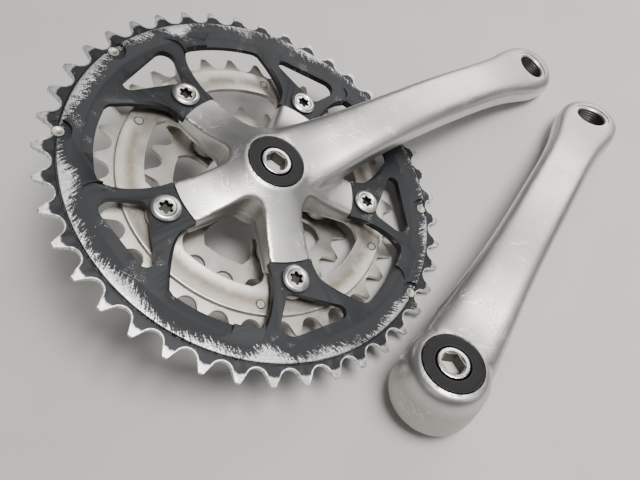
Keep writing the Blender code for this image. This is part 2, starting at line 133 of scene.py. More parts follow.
# %% Finishes as arithmetic
class Wire:
    """A shader socket that Python arithmetic works on."""

    def __init__(self, finish, socket):
        self.finish, self.socket = finish, socket

    def math(self, operation, *values):
        return self.finish.node("ShaderNodeMath", {"operation": operation}, dict(enumerate(values)))

    def __add__(self, other):
        return self.math("ADD", self, other)

    def __sub__(self, other):
        return self.math("SUBTRACT", self, other)

    def __mul__(self, other):
        return self.math("MULTIPLY", self, other)

    def __truediv__(self, other):
        return self.math("DIVIDE", self, other)

    def __rsub__(self, other):
        return self.math("SUBTRACT", other, self)

    __radd__, __rmul__ = __add__, __mul__

    def __abs__(self):
        return self.math("ABSOLUTE", self)

    def above(self, start, end):
        """0 below start, 1 above end, and smooth between them."""
        settings = {"interpolation_type": "SMOOTHSTEP", "clamp": True}
        values = {"Value": self, "From Min": start, "From Max": end, "To Min": 0.0, "To Max": 1.0}
        return self.finish.node("ShaderNodeMapRange", settings, values)

    def near(self, centre, reach):
        """1 at the centre value, 0 at reach or more to either side."""
        return 1.0 - abs(self - centre).above(0.0, reach)


class Finish:
    """A material, with the coordinates of one side of the crankset."""

    def __init__(self, name, side, **constants):
        self.material = bpy.data.materials.new(name)
        self.material.use_nodes = True
        self.tree = self.material.node_tree
        self.shader = self.tree.nodes["Principled BSDF"]
        for socket, value in constants.items():
            self.shader.inputs[socket.replace("_", " ").title()].default_value = value
        coordinates = self.node("ShaderNodeTexCoord", output="Object")
        self.local = self.node("ShaderNodeMapping", {"vector_type": "TEXTURE"}, {
            "Vector": coordinates, "Location": side.translation, "Rotation": side.to_euler(),
            "Scale": (MM, MM, MM)})
        self.x, self.y, self.z = (self.node("ShaderNodeSeparateXYZ", values={0: self.local},
                                            output=i) for i in range(3))
        self.radius = self.distance(self.x, self.y)
        self.turn = self.x.math("ARCTAN2", self.y * -1.0, self.x * -1.0)

    def node(self, kind, settings=None, values=None, output=0):
        made = self.tree.nodes.new(kind)
        for name, value in (settings or {}).items():
            setattr(made, name, value)
        for name, value in (values or {}).items():
            if isinstance(value, Wire):
                self.tree.links.new(value.socket, made.inputs[name])
            else:
                made.inputs[name].default_value = value
        return Wire(self, made.outputs[output])

    def vector(self, x, y, z):
        return self.node("ShaderNodeCombineXYZ", values={0: x, 1: y, 2: z})

    def distance(self, x, y):
        """How far the place (x, y) is from an axis along Z."""
        return self.node("ShaderNodeVectorMath", {"operation": "LENGTH"},
                         {0: self.vector(x, y, 0.0)}, output=1)

    def noise(self, at, scale=1.0, detail=3.0, roughness=0.55):
        return self.node("ShaderNodeTexNoise", {"noise_dimensions": "3D"},
                         {"Vector": at, "Scale": scale, "Detail": detail, "Roughness": roughness})

    def cells(self, at, scale):
        return self.node("ShaderNodeTexVoronoi", values={"Vector": at, "Scale": scale})

    def mix(self, factor, first, second):
        def colour(value):
            return value if isinstance(value, Wire) else (*value, 1.0)
        return self.node("ShaderNodeMix", {"data_type": "RGBA"},
                         {0: factor, 6: colour(first), 7: colour(second)}, output=2)

    def bump(self, height, distance):
        """Height from 0 to 1, which rises by that many millimetres."""
        return self.node("ShaderNodeBump", values={"Height": height, "Distance": distance * MM,
                                                   "Strength": 1.0})

    def feed(self, **sockets):
        for name, value in sockets.items():
            self.tree.links.new(value.socket, self.shader.inputs[name.replace("_", " ").title()])
        return self.material

    def scratches(self, turn, length, spacing, width):
        """Thin straight lines at one angle, where a long, narrow noise passes its middle."""
        c, s = math.cos(math.radians(turn)), math.sin(math.radians(turn))
        along, across = self.x * c + self.y * s, self.y * c - self.x * s
        lines = self.noise(self.vector(along / length, across / spacing, self.z / 9.0 + turn), 1.0, 1.0)
        return lines.near(0.5, width) * self.noise(self.local, 0.11, 1.0).above(0.48, 0.60)


print("wire and finish are ready")

# %% [markdown]
# The floor is a pale studio sheet with a faint mottling, so that shadows read on it.

# %% Floor finish
sheet = Finish("studio_floor", Matrix.Identity(4), roughness=0.75)
mottle = sheet.noise(sheet.local, 0.02, 2.0)
floor.data.materials.append(sheet.feed(base_color=sheet.mix(mottle, (0.60, 0.59, 0.57),
                                                            (0.66, 0.65, 0.63))))
print("floor finish", sheet.material.name)

# %% [markdown]
# Bare crank aluminium is forged, polished and then lived with. Fine lines run along the arm,
# the polish is cloudy, shoes and shorts have left crossing scratches, and dirt stays in a
# ring round the bolt. Low on the boss and the spider the colour is darkened, painted shade for
# the dark sides, and the roughness rises a little there; the pedal bore is darkened as painted
# shade too. Brushing changes the roughness and the height, and scratches, pits, dirt, tarnish
# and cloud change the colour along with the painted shade, because metal keeps its colour
# where it is only rough.

# %% Forged aluminium
def forged(name, side, pedal_face, shade_and_dull_below):
    metal = Finish(name, side, metallic=1.0)
    from_pedal_axis = metal.distance(metal.x - CRANK_LENGTH, metal.y)
    below_face = 1.0 - metal.z.above(pedal_face - 1.6, pedal_face - 0.9)
    bore_shade = (1.0 - from_pedal_axis.above(7.6, 8.2)) * below_face
    cloud = metal.noise(metal.local, 0.06, 2.0)
    brush = metal.noise(metal.vector(metal.x / 14.0, metal.y * 2.6, metal.z * 2.6), 1.0, 3.0, 0.6)
    fine = metal.noise(metal.vector(metal.x / 3.0, metal.y * 7.0, metal.z * 7.0), 1.0, 2.0, 0.6)
    lines = metal.scratches(12, 22.0, 2.4, 0.012) + metal.scratches(-27, 18.0, 2.8, 0.010)
    lines = lines + metal.scratches(75, 16.0, 3.2, 0.010) + metal.scratches(-62, 24.0, 3.0, 0.009)
    pits = metal.cells(metal.local, 0.55).above(0.0, 0.10)
    pits = 1.0 - (1.0 - pits) * metal.noise(metal.local, 0.35, 1.0).above(0.46, 0.56)
    dirt = metal.radius.near(12.3, 1.2) * metal.noise(metal.local, 0.5, 3.0).above(0.45, 0.65)
    tarnish = metal.noise(metal.local, 0.022, 1.0).above(0.38, 0.80)
    colour = metal.mix(cloud, (0.645, 0.637, 0.615), (0.71, 0.703, 0.685))
    colour = metal.mix(tarnish * 0.25, colour, (0.54, 0.52, 0.485))
    # Painted shade: below this height the colour darkens towards a dull brown-grey, and the roughness
    # rises a little.
    low_shade_and_dull = 1.0 - metal.z.above(shade_and_dull_below - 9.0, shade_and_dull_below)
    colour = metal.mix(low_shade_and_dull * (0.45 + cloud * 0.35), colour, (0.33, 0.315, 0.285))
    colour = metal.mix(lines * 0.35, colour, (0.86, 0.86, 0.85))
    colour = metal.mix((1.0 - pits) * 0.8, colour, (0.20, 0.19, 0.17))
    colour = metal.mix(dirt * 0.55, colour, (0.16, 0.13, 0.09))
    # Painted shade: the pedal bore below its spot face is painted nearly black.
    colour = metal.mix(bore_shade * 0.88, colour, (0.045, 0.040, 0.034))
    rough = 0.25 + cloud * 0.05 + brush * 0.10 + fine * 0.06
    rough = rough + tarnish * 0.04 + dirt * 0.3 + low_shade_and_dull * 0.05
    height = brush * 0.35 + fine * 0.2 + cloud * 0.12 + pits * 0.8 - lines * 0.5
    return metal.feed(base_color=colour, roughness=rough, normal=metal.bump(height, 0.035))


FACE, PEDAL_RISE = 11.7, 17.8
# Heights below which the colour is darkened as painted shade and the roughness rises.
SPIDER_SHADE_AND_DULL, BOSS_SHADE_AND_DULL = -0.5, -2.5
FORGED_RIGHT = forged("forged_right", CHAINSET, FACE + PEDAL_RISE, SPIDER_SHADE_AND_DULL)
FORGED_LEFT = forged("forged_left", LOOSE_CRANK, PEDAL_RISE, BOSS_SHADE_AND_DULL)
print("forged finishes made")

# %% [markdown]
# The outer chainring is dark anodised aluminium. The chain has worn it to bare metal where it
# lands. Each worn place has a direction, a reach and a strength, and short streaks across the
# band turn its edge into a fringe: near the lip almost any streak shows, further in only the
# strongest. Round each roller seat the coating is gone as well. Folding the turn forty-two
# times brings all the teeth onto one, so a single distance from its seat draws them all.

# %% Worn anodising
WORN_PLACES = [(43, 14, 0.55), (68, 9, 0.45), (91, 7, 1.25), (104, 9, 0.50), (130, 22, 0.72),
               (164, 10, 1.15), (178, 12, 0.35), (197, 15, 0.95), (222, 12, 0.50), (238, 9, 1.15),
               (256, 12, 0.60), (284, 14, 0.55), (318, 10, 0.45)]
OUTER_TEETH, OUTER_PITCH_R, OUTER_PHASE = 42, 84.97, 85.2


def worn_anodising(name):
    ring = Finish(name, CHAINSET)
    around = ring.turn * 80.0
    slanted = around - ring.radius * 0.7
    streak = ring.noise(ring.vector(slanted * 2.0, ring.radius * 0.38, ring.z * 0.3),
                        1.0, 4.0, 0.7)
    hair = ring.noise(ring.vector(slanted * 4.5, ring.radius * 0.8, 3.0), 1.0, 3.0, 0.65)
    hatch = ring.noise(ring.vector(around + ring.radius * 1.3, ring.radius * 0.6, 5.0),
                       1.6, 3.0, 0.7)
    patch = 0.0
    for degrees, reach, strength in WORN_PLACES:
        place = math.radians(degrees % 360 - 180)
        patch = patch + ring.turn.near(place, math.radians(reach)) * strength
    inward = (79.4 - ring.radius) / 7.5
    rim = ring.radius.above(71.6, 73.0) * (1.0 - ring.radius.above(79.3, 79.6))
    fringe = streak * 2.0 + hatch * 0.8 + patch * 0.52 - inward * 0.85
    gaps = hair.above(0.52, 0.60) * (1.0 - hatch.above(0.46, 0.60)) * 0.85
    worn = fringe.above(1.36, 1.50) * rim * (1.0 - gaps)
    lip = ring.radius.near(79.2, 0.45) * (streak + patch * 0.2).above(0.42, 0.55)
    lip = lip * ring.z.above(1.2, 1.8)
    chips = ring.noise(ring.local, 0.42, 5.0, 0.75).above(0.70, 0.72)
    scrape = ring.scratches(35, 6.0, 0.7, 0.012) + ring.scratches(-50, 8.0, 0.9, 0.010)
    scrape = scrape * ring.noise(ring.local, 0.07, 1.0).above(0.52, 0.62)
    turns = ring.turn * (OUTER_TEETH / math.tau) - (OUTER_PHASE / 360.0 * OUTER_TEETH) % 1.0
    fold = turns.math("FRACT", turns) - 0.5
    seat = ring.distance(fold * ring.radius * (math.tau / OUTER_TEETH), ring.radius - OUTER_PITCH_R)
    plate_noise = ring.noise(ring.local, 0.35, 3.0, 0.6)
    tooth = ring.radius.above(79.9, 80.2)
    root = (1.0 - seat.above(4.15, 4.5)) * 0.8
    tip = ring.radius.above(81.8, 86.4) + plate_noise * 0.5 - seat.above(4.3, 7.5) * 0.25
    tip = tip.above(0.42, 0.95)
    bare = (worn + lip + chips * 0.9 + scrape * 0.6 + tooth * (root + tip)).above(0.0, 0.9)
    dust = ring.noise(ring.local, 0.09, 5.0, 0.7)
    dark = ring.mix(dust, (0.017, 0.0185, 0.021), (0.036, 0.039, 0.044))
    silver = ring.mix((hair * 0.6 + hatch * 0.4).above(0.40, 0.60),
                      (0.42, 0.42, 0.41), (0.90, 0.90, 0.89))
    colour = ring.mix(bare, dark, silver)
    # Painted shade: the foot of the narrow groove below the band is painted near black.
    groove_shade = ring.radius.near(79.65, 0.4) * (1.0 - ring.z.above(0.9, 1.3)) * ring.z.above(0.0, 0.3)
    colour = ring.mix(groove_shade, colour, (0.010, 0.010, 0.011))
    grain = ring.noise(ring.local, 6.0, 2.0)
    rough = 0.40 + dust * 0.14 - bare * 0.08 + grain * 0.06
    height = grain * 0.15 - bare * 0.5 + streak * bare * 0.6
    return ring.feed(base_color=colour, roughness=rough, metallic=0.60 + bare * 0.40,
                     normal=ring.bump(height, 0.05))


ANODISED = worn_anodising("worn_anodising")
print("anodised finish made")

# %% [markdown]
# The middle chainring is steel with a warm nickel plating. Its raised band is brownish where
# old grease stays, and a painted shade line runs dark round the step where the band meets the
# teeth. The inner chainring has the same plating, duller. Both were turned, so the
# fine lines run round the axle: the noise is stretched along the turn.

# %% Plated steel
def plated(name, deep, pale, stain_at, shade_line_at):
    ring = Finish(name, CHAINSET, metallic=1.0)
    turned = ring.noise(ring.vector(ring.turn * 1.2, ring.radius * 3.5, ring.z * 3.5), 1.0, 3.0, 0.6)
    cloud = ring.noise(ring.local, 0.10, 4.0, 0.6)
    spots = ring.noise(ring.local, 0.55, 4.0, 0.7).above(0.64, 0.72)
    stain = ring.radius.near(stain_at, 4.4) * (cloud + 0.15).above(0.42, 0.66)
    lines = ring.scratches(20, 6.0, 0.6, 0.012) + ring.scratches(-48, 8.0, 0.7, 0.010)
    colour = ring.mix(cloud, deep, pale)
    colour = ring.mix(stain * 0.80, colour, (0.19, 0.16, 0.12))
    colour = ring.mix(spots * 0.6, colour, (0.17, 0.14, 0.11))
    colour = ring.mix(lines * 0.5, colour, (0.85, 0.84, 0.81))
    # Painted shade: a near-black line at the mouth of the step between band and teeth.
    dark = ring.radius.near(shade_line_at, 0.32) * ring.z.above(-6.1, -5.7)
    colour = ring.mix(dark, colour, (0.02, 0.018, 0.016))
    rough = 0.27 + cloud * 0.14 + turned * 0.10 + spots * 0.2 + stain * 0.12
    height = turned * 0.3 + cloud * 0.3 + spots * 0.4 - lines * 0.4
    return ring.feed(base_color=colour, roughness=rough, normal=ring.bump(height, 0.03))


MIDDLE_PLATE = plated("middle_plate", (0.46, 0.435, 0.39), (0.66, 0.635, 0.585), 53.6, 59.55)
INNER_PLATE = plated("inner_plate", (0.44, 0.42, 0.385), (0.58, 0.56, 0.52), 30.0, 10.0)
print("plated finishes made")

# %% [markdown]
# Bolts and pins are plated too, but bright, with marks from handling. Their socket walls and head
# sides are painted nearly black as painted shade, which the local height can tell from the head's top.
# The retaining rings are matt black with fine turning lines, so their height is a wave that
# follows the radius; dust, a rubbed outer edge and a painted highlight line round the dish's inner edge
# keep the black from looking flat.

# %% Bolts and retaining rings
def bright(name, side, tone, rough_from, floor, mouth):
    metal = Finish(name, side, metallic=1.0)
    cloud = metal.noise(metal.local, 0.30, 4.0, 0.6)
    marks = metal.scratches(40, 2.5, 0.35, 0.02) + metal.scratches(-35, 3.0, 0.4, 0.02)
    grime = metal.noise(metal.local, 0.7, 4.0, 0.7).above(0.60, 0.76)
    pale = tuple(channel * 1.14 for channel in tone)
    # Painted shade: nearly black from the socket's floor to a little below its mouth.
    socket_shade = metal.z.above(floor, floor + 0.3) * (1.0 - metal.z.above(mouth - 0.5, mouth))
    colour = metal.mix(grime * 0.40, metal.mix(cloud, tone, pale), (0.22, 0.20, 0.17))
    colour = metal.mix(socket_shade * (0.84 + cloud * 0.15), colour, (0.026, 0.022, 0.018))
    bottom = 1.0 - metal.z.above(floor - 0.1, floor + 0.1)
    colour = metal.mix(bottom, colour, (0.92, 0.90, 0.86))
    rough = rough_from + cloud * 0.10 + grime * 0.20 + socket_shade * 0.25 + bottom * 0.45
    height = cloud * 0.12 - marks * 0.5 - grime * 0.15
    return metal.feed(base_color=colour, roughness=rough, normal=metal.bump(height, 0.02))


def matt_black(name, side):
    black = Finish(name, side)
    black.shader.inputs["Specular IOR Level"].default_value = 0.25
    waves = (black.radius * 9.0).math("SINE", black.radius * 9.0)
    dust = black.noise(black.local, 0.5, 5.0, 0.7)
    # Rubbed wear near the outer edge, and a painted highlight: an even light line at the dish's inner
    # edge.
    rub_and_edge_highlight = black.radius.near(11.4, 0.35) * dust.above(0.45, 0.62) + black.radius.near(7.2, 0.3) * 0.5
    colour = black.mix(dust, (0.005, 0.005, 0.006), (0.020, 0.020, 0.022))
    colour = black.mix(rub_and_edge_highlight * 0.35, colour, (0.12, 0.12, 0.12))
    rough = 0.50 + dust * 0.20
    return black.feed(base_color=colour, roughness=rough,
                      normal=black.bump(waves * 0.25 + dust * 0.5, 0.03))


PLATING_TONE = (0.66, 0.65, 0.63)
HEX_FLOOR, HEX_MOUTH, HEAD_FLOOR, HEAD_MOUTH, NEVER = -6.5, -0.5, -6.0, 2.45, -90.0
BOLT_BRIGHT = bright("bolt_bright", CHAINSET, PLATING_TONE, 0.22, FACE + HEX_FLOOR, FACE + HEX_MOUTH)
LOOSE_BOLT_BRIGHT = bright("loose_bolt_bright", LOOSE_CRANK, PLATING_TONE, 0.22, HEX_FLOOR, HEX_MOUTH)
RING_BOLT_STEEL = bright("ring_bolt_steel", CHAINSET, PLATING_TONE, 0.24, HEAD_FLOOR, HEAD_MOUTH)
NUT_STEEL = bright("nut_steel", CHAINSET, (0.55, 0.53, 0.49), 0.28, NEVER, NEVER)
PIN_STEEL = bright("pin_steel", CHAINSET, (0.46, 0.44, 0.40), 0.40, NEVER, NEVER)
RIGHT_BLACK = matt_black("right_black", CHAINSET)
LEFT_BLACK = matt_black("left_black", LOOSE_CRANK)
print("small-part finishes made")

# %% [markdown]
# Most pieces start as a drawn line: one vertex, extruded from point to point as a pen would
# go. `turned` spins such a profile round the axle, which is how a lathe makes the real part.
# `plate` fills a drawn outline and pulls it up into a slab, for guides that cut or add shape.
# All the numbers are millimetres in the side's upright frame.

# %% Drawing, turning and cutting
SMOOTH_BELOW, BEVEL_ABOVE = 32.0, 50.0
SAME_POINT = 2e-6


def select_only(piece):
    bpy.ops.object.select_all(action="DESELECT")
    piece.select_set(True)
    bpy.context.view_layer.objects.active = piece
    return piece


def draw(name, points):
    """A chain of vertices through the points (x, y, z); it is left open in edit mode."""
    bpy.ops.object.select_all(action="DESELECT")
    bpy.ops.mesh.primitive_plane_add(size=MM)
    piece = bpy.context.object
    piece.name = name
    bpy.ops.object.mode_set(mode="EDIT")
    bpy.ops.mesh.select_all(action="SELECT")
    bpy.ops.mesh.merge(type="CENTER")
    here = Vector((0.0, 0.0, 0.0))
    for i, point in enumerate(points):
        step = (Vector(point) - here) * MM
        if i:
            bpy.ops.mesh.extrude_vertices_move(TRANSFORM_OT_translate={"value": step})
        else:
            bpy.ops.transform.translate(value=step)
        here = Vector(point)
    return piece


def close_up(piece):
    """Back to object mode, with doubles merged and faces turned outwards."""
    bpy.ops.mesh.select_all(action="SELECT")
    bpy.ops.mesh.remove_doubles(threshold=SAME_POINT)
    bpy.ops.mesh.normals_make_consistent(inside=False)
    bpy.ops.object.mode_set(mode="OBJECT")
    return piece


def turned(name, profile, segments=96, at=(0.0, 0.0)):
    """A profile of (radius, z) spun round an axis through the point at."""
    piece = draw(name, [(at[0] + radius, at[1], z) for radius, z in profile])
    bpy.ops.mesh.select_all(action="SELECT")
    bpy.ops.mesh.spin(steps=segments, angle=math.tau, center=(at[0] * MM, at[1] * MM, 0.0),
                      axis=(0.0, 0.0, 1.0))
    return close_up(piece)


def plate(name, outline, low, high, growth=None):
    """An outline filled and pulled up into a slab; growth widens its top, about the axle."""
    piece = draw(name, [(x, y, low) for x, y in outline])
    bpy.ops.mesh.select_all(action="SELECT")
    bpy.ops.mesh.edge_face_add()
    bpy.ops.mesh.extrude_region_move(TRANSFORM_OT_translate={"value": (0.0, 0.0, (high - low) * MM)})
    if growth:
        bpy.ops.transform.resize(value=(growth, growth, 1.0), center_override=(0.0, 0.0, high * MM))
    return close_up(piece)


def finish_modifier(piece, kind, **settings):
    select_only(piece)
    modifier = piece.modifiers.new(kind.title(), kind)
    for name, value in settings.items():
        setattr(modifier, name, value)
    bpy.ops.object.modifier_apply(modifier=modifier.name)
    return piece


def combine(piece, operation, guide):
    """The guide adds, cuts or keeps material once, and is thrown away."""
    finish_modifier(piece, "BOOLEAN", operation=operation, solver="EXACT", object=guide)
    bpy.data.objects.remove(guide, do_unlink=True)
    return piece


def soften(piece, width):
    """A small round on every sharp edge, width in millimetres."""
    return finish_modifier(piece, "BEVEL", width=width * MM, segments=2, limit_method="ANGLE",
                           angle_limit=math.radians(BEVEL_ABOVE))


def join(first, *others):
    select_only(first)
    for other in others:
        other.select_set(True)
    bpy.ops.object.join()
    return first


def copies(piece, angles):
    """The piece and a copy of it at each further angle round the axle."""
    made = [piece]
    for angle in angles:
        select_only(piece)
        bpy.ops.object.duplicate()
        bpy.ops.transform.rotate(value=-math.radians(angle), orient_axis="Z",
                                 center_override=(0.0, 0.0, 0.0))
        bpy.ops.object.transform_apply(location=True, rotation=True, scale=True)
        made.append(bpy.context.object)
    return made


def polar(radius, degrees):
    return (radius * math.cos(math.radians(degrees)), radius * math.sin(math.radians(degrees)))


def aside(points, degrees):
    """From a spider arm's own frame, with +Y outwards, to the chainset's."""
    c, s = math.cos(math.radians(degrees - 90.0)), math.sin(math.radians(degrees - 90.0))
    return [(c * x - s * y, s * x + c * y) for x, y in points]


def arc(radius, start, end, count, centre=(0.0, 0.0)):
    turns = [start + (end - start) * i / count for i in range(count + 1)]
    return [(centre[0] + polar(radius, a)[0], centre[1] + polar(radius, a)[1]) for a in turns]


def flowing(points, steps=5):
    """A smooth curve through every point."""
    path = []
    for i in range(len(points) - 1):
        before, start = points[max(i - 1, 0)], points[i]
        end, after = points[i + 1], points[min(i + 2, len(points) - 1)]
        for step in range(steps):
            t = step / steps
            path.append(tuple(0.5 * (2 * q + (r - p) * t + (2 * p - 5 * q + 4 * r - s) * t * t
                                     + (3 * q - p - 3 * r + s) * t ** 3)
                              for p, q, r, s in zip(before, start, end, after)))
    return path + [points[-1]]


def raised(profile, level):
    """A profile of (radius, z), lifted by level."""
    return [(radius, level + z) for radius, z in profile]


def rounded(corners, radii):
    """An outline through the corners, with an arc of its own radius at each."""
    path = []
    for i, (corner, radius) in enumerate(zip(corners, radii)):
        here = Vector(corner)
        back = (Vector(corners[i - 1]) - here).normalized()
        ahead = (Vector(corners[(i + 1) % len(corners)]) - here).normalized()
        half = back.angle(ahead) / 2
        centre = here + (back + ahead).normalized() * radius / math.sin(half)
        first = here + back * radius / math.tan(half) - centre
        last = here + ahead * radius / math.tan(half) - centre
        start = math.degrees(math.atan2(first.y, first.x))
        sweep = (math.degrees(math.atan2(last.y, last.x)) - start + 180.0) % 360.0 - 180.0
        path += arc(radius, start, start + sweep, 8, centre)
    return path


def put(piece, side, body, slot, material, *nodes):
    """Moves a finished piece to its side of the crankset and hands it to the frame."""
    select_only(piece)
    piece.matrix_world = side
    bpy.ops.object.transform_apply(location=True, rotation=True, scale=True)
    bpy.ops.object.shade_smooth_by_angle(angle=math.radians(SMOOTH_BELOW))
    finish_modifier(piece, "WEIGHTED_NORMAL", keep_sharp=True)
    piece.data.materials.clear()
    piece.data.materials.append(material)
    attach(piece, body)
    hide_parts(*nodes)
    lowest = min(vertex.co.z for vertex in piece.data.vertices) / MM
    print(piece.name, len(piece.data.polygons), "faces, lowest point", round(lowest, 2))
    return piece


print("modelling helpers are ready")

# %% [markdown]
# Chainring teeth are what a round cutter leaves between two chain rollers. So each ring starts
# as a turned disc of the full tip radius, and one cutter, a round roller seat with flaring
# sides, is copied round it and taken away. The tip ends up narrow, as on the real ring.

# %% Teeth
CHAIN_PITCH = 12.7
ROLLER_SEAT = 3.95
TOOTH_RISE = 2.35
TOOTH_TIP_HALF = 0.75
SEAT_REACH = 66


def tip_radius(teeth):
    return CHAIN_PITCH / (2 * math.sin(math.pi / teeth)) + TOOTH_RISE


def cut_teeth(ring, teeth, phase, low, high):
    pitch = tip_radius(teeth) - TOOTH_RISE
    half_gap = 180.0 / teeth - math.degrees(TOOTH_TIP_HALF / tip_radius(teeth))
    seat = [(pitch - ROLLER_SEAT * math.cos(math.radians(a)), ROLLER_SEAT * math.sin(math.radians(a)))
            for a in range(-SEAT_REACH, SEAT_REACH + 1, 11)]
    corner = polar(tip_radius(teeth), half_gap)
    slope = (corner[1] - seat[-1][1]) / (corner[0] - seat[-1][0])
    out = corner[0] + 2.0
    mouth = corner[1] + 2.0 * slope
    cutter = plate("roller", seat + [(out, mouth), (out, -mouth)], low, high)
    bpy.ops.transform.rotate(value=-math.radians(phase + 180.0 / teeth), orient_axis="Z",
                             center_override=(0.0, 0.0, 0.0))
    bpy.ops.object.transform_apply(location=True, rotation=True, scale=True)
    cutters = copies(cutter, [360.0 * k / teeth for k in range(1, teeth)])
    combine(ring, "DIFFERENCE", join(*cutters))


# %% [markdown]
# The outer chainring's rim is thick where the band rises towards the teeth, with a narrow
# groove cut at its foot. Five windows leave five tabs, and each tab has an eye beside its
# bolt. Between tabs the window's rim is bevelled by a cutter that widens upwards, and a lump
# beside each tab keeps the full height of the band. The shift pins stand in round recesses.
# The tabs' inner ends stop 0.3 mm short of the spider's shoulders.

# %% Outer chainring
SPIDER_ARMS = [36.0 + 72.0 * k for k in range(5)]
SHOULDER = 39.9
BOLT_CIRCLE = 47.0
TAB_TOP, TAB_BACK = 1.2, -1.6
BOLT_HOLE_R = 5.25
WINDOW_RIM, WINDOW_FOOT, WINDOW_FLARE = 67.3, 35.0, 1.052
LUMP_TURN = 6.0
OUTER_PINS = [(115.0, 78.3), (149.0, 79.4), (-66.0, 78.8), (-32.0, 77.7)]


def drill(piece, circle, radius, low, high):
    """A round hole at each spider arm, on a bolt circle."""
    profile = [(0.0, low), (radius, low), (radius, high), (0.0, high)]
    for angle in SPIDER_ARMS:
        combine(piece, "DIFFERENCE", turned("drill", profile, 32, polar(circle, angle)))


def window(angle, side_out, side_in, rim, foot):
    """The gap that runs clockwise from one tab to the next, as an outline."""
    out = aside(flowing(side_out), angle)
    back = aside(flowing(side_in), angle - 72.0)
    start = math.degrees(math.atan2(out[-1][1], out[-1][0]))
    end = math.degrees(math.atan2(back[0][1], back[0][0]))
    span = (end - start + 180.0) % 360.0 - 180.0
    rim_arc = arc(rim, start + span * 0.08, start + span * 0.94, 14)
    last = math.degrees(math.atan2(back[-1][1], back[-1][0]))
    first = math.degrees(math.atan2(out[0][1], out[0][0]))
    back_span = (first - last + 180.0) % 360.0 - 180.0
    return out + rim_arc + back + arc(foot, last, last + back_span, 8)


def outer_chainring():
    tip = tip_radius(OUTER_TEETH)
    ring = turned("outer_ring", [
        (SHOULDER + 0.3, TAB_TOP), (71.5, TAB_TOP), (72.1, 1.28), (74.8, 2.08), (76.6, 2.34),
        (78.7, 2.42), (79.2, 2.2), (79.35, 1.9), (79.4, 0.5), (79.9, 0.5), (80.0, 1.05), (84.6, 1.02),
        (tip - 0.2, 0.62), (tip, 0.35), (tip, -0.5), (tip - 0.5, -0.8), (84.6, -1.05),
        (78.4, -1.05), (77.8, TAB_BACK), (SHOULDER + 0.3, TAB_BACK), (SHOULDER + 0.3, TAB_TOP)], 252)
    cut_teeth(ring, OUTER_TEETH, OUTER_PHASE, -6.0, 6.0)
    side_out = [(9.2, 36.0), (9.2, 43.0), (9.6, 47.6), (11.6, 54.2), (14.6, 60.0), (18.3, 64.2)]
    side_in = [(-28.5, 60.0), (-22.0, 56.2), (-14.7, 50.8), (-11.0, 46.5), (-9.5, 42.6), (-9.5, 36.0)]
    gaps = [window(angle, side_out, side_in, WINDOW_RIM, WINDOW_FOOT) for angle in SPIDER_ARMS]
    for gap in gaps:
        combine(ring, "DIFFERENCE", plate("bevel_cutter", gap, 0.35, 1.45, WINDOW_FLARE))
    for angle in SPIDER_ARMS:
        lump = flowing([(34.0, 54.5), (34.8, 58.0), (37.2, 60.8), (42.0, 61.5), (41.0, 64.2),
                        (22.0, 73.0), (21.0, 71.2), (24.4, 67.4), (24.6, 64.0), (22.8, 59.5)], 3)
        combine(ring, "UNION", plate("lump", aside(lump, angle + LUMP_TURN), 0.2, 1.95))
    for gap, angle in zip(gaps, SPIDER_ARMS):
        combine(ring, "DIFFERENCE", plate("window", gap, -6.0, 6.0))
        eye = aside(rounded([(-26.4, 63.4), (14.2, 70.6), (4.6, 51.6)], [2.9, 4.6, 3.2]), angle)
        combine(ring, "DIFFERENCE", plate("eye", eye, -6.0, 6.0))
    drill(ring, BOLT_CIRCLE, BOLT_HOLE_R, -6.0, 6.0)
    for angle, at_radius in OUTER_PINS:
        recess = [(0, -6), (2.45, -6), (2.45, 0.85), (4.6, 0.85), (4.8, 6), (0, 6)]
        combine(ring, "DIFFERENCE", turned("pin_hole", recess, 48, polar(at_radius, angle)))
    return soften(ring, 0.22)


put(outer_chainring(), CHAINSET, "chainset", "anodised_ring", ANODISED, "outer_chainring")

# %% [markdown]
# The middle chainring's band is dished, so that light rolls across it, and thin tabs hold it
# to the back of the spider. The inner chainring is a flat plate with its own bolt circle.

# %% Middle and inner chainrings
MIDDLE_TEETH, MIDDLE_PHASE = 32, 4.0
INNER_TEETH, INNER_PHASE = 22, 1.0
BAND_TOP, BAND_BACK = -4.8, -6.9
INNER_Z, INNER_HALF = -15.8, 1.05
INNER_CIRCLE = 29.0
MIDDLE_PINS = [(57.0, 54.7), (130.4, 54.8), (-54.4, 56.2), (-122.5, 55.0)]


def middle_chainring():
    tip = tip_radius(MIDDLE_TEETH)
    ring = turned("middle_ring", [
        (SHOULDER + 0.7, BAND_TOP), (47.6, BAND_TOP), (49.2, -4.85), (51.5, -5.15), (54.0, -5.3),
        (56.5, -5.15), (58.4, -4.85), (59.1, -4.95), (59.3, -5.3), (59.4, -6.9), (59.7, -6.9),
        (59.75, -6.55), (64.4, -6.58), (tip - 0.2, -6.95), (tip, -7.3), (tip, -7.95),
        (tip - 0.4, -8.2), (64.4, -8.65), (58.6, -8.65), (57.0, BAND_BACK),
        (SHOULDER + 0.7, BAND_BACK), (SHOULDER + 0.7, BAND_TOP)], 192)
    cut_teeth(ring, MIDDLE_TEETH, MIDDLE_PHASE, -14.0, 0.0)
    side_out = [(8.0, 36.0), (8.4, 40.0), (9.5, 42.4), (11.5, 44.6), (15.5, 46.0)]
    side_in = [(-15.5, 46.0), (-11.5, 44.6), (-9.5, 42.4), (-8.4, 40.0), (-8.0, 36.0)]
    for angle in SPIDER_ARMS:
        gap = window(angle, side_out, side_in, 48.5, WINDOW_FOOT)
        combine(ring, "DIFFERENCE", plate("window", gap, -14.0, 0.0))
    drill(ring, BOLT_CIRCLE, BOLT_HOLE_R, -14.0, 0.0)
    for angle, at_radius in MIDDLE_PINS:
        hole = [(0, -14), (2.0, -14), (2.0, 0), (0, 0)]
        combine(ring, "DIFFERENCE", turned("pin_hole", hole, 24, polar(at_radius, angle)))
    return soften(ring, 0.18)


